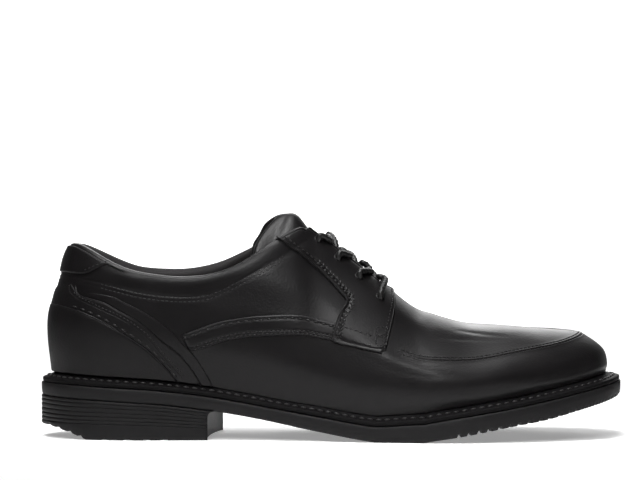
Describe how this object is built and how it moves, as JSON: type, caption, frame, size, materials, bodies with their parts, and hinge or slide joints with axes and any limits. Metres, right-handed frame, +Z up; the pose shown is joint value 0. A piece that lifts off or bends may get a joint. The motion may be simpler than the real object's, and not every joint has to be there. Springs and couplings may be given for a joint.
{
  "type": "apron toe derby shoe",
  "caption": "Black leather apron toe derby, right shoe: hollow lasted upper with raised apron seam, eyestays, heel foxing, welted rubber sole and ribbed heel.",
  "frame": {"origin": "middle of the footprint on the ground, under the shoe", "axes": "+X from heel to toe, +Y to the inner (medial) side of this right shoe, +Z up"},
  "size_m": [0.306, 0.1036, 0.1166],
  "materials": {
    "upper_leather": "black, satin polish",
    "lining_leather": "matte lining",
    "lace_cord": "braided, waxed",
    "sole_rubber": "matte moulded",
    "welt_rubber": "satin, stitched"
  },
  "bodies": {
    "root": {"outsole": "sole_rubber", "heel": "sole_rubber", "welt": "welt_rubber", "insole": "lining_leather", "upper": "upper_leather", "tongue": "upper_leather", "heel_counter": "upper_leather", "heel_foxing": "upper_leather", "heel_tab": "upper_leather", "foxing_band_lateral": "upper_leather", "foxing_band_medial": "upper_leather", "side_strap_lateral": "upper_leather", "side_strap_medial": "upper_leather", "eyestay_lateral": "upper_leather", "eyestay_medial": "upper_leather", "lace_cross_1": "lace_cord", "lace_cross_2": "lace_cord", "lace_cross_3": "lace_cord", "lace_bar": "lace_cord"}
  },
  "joints": []
}
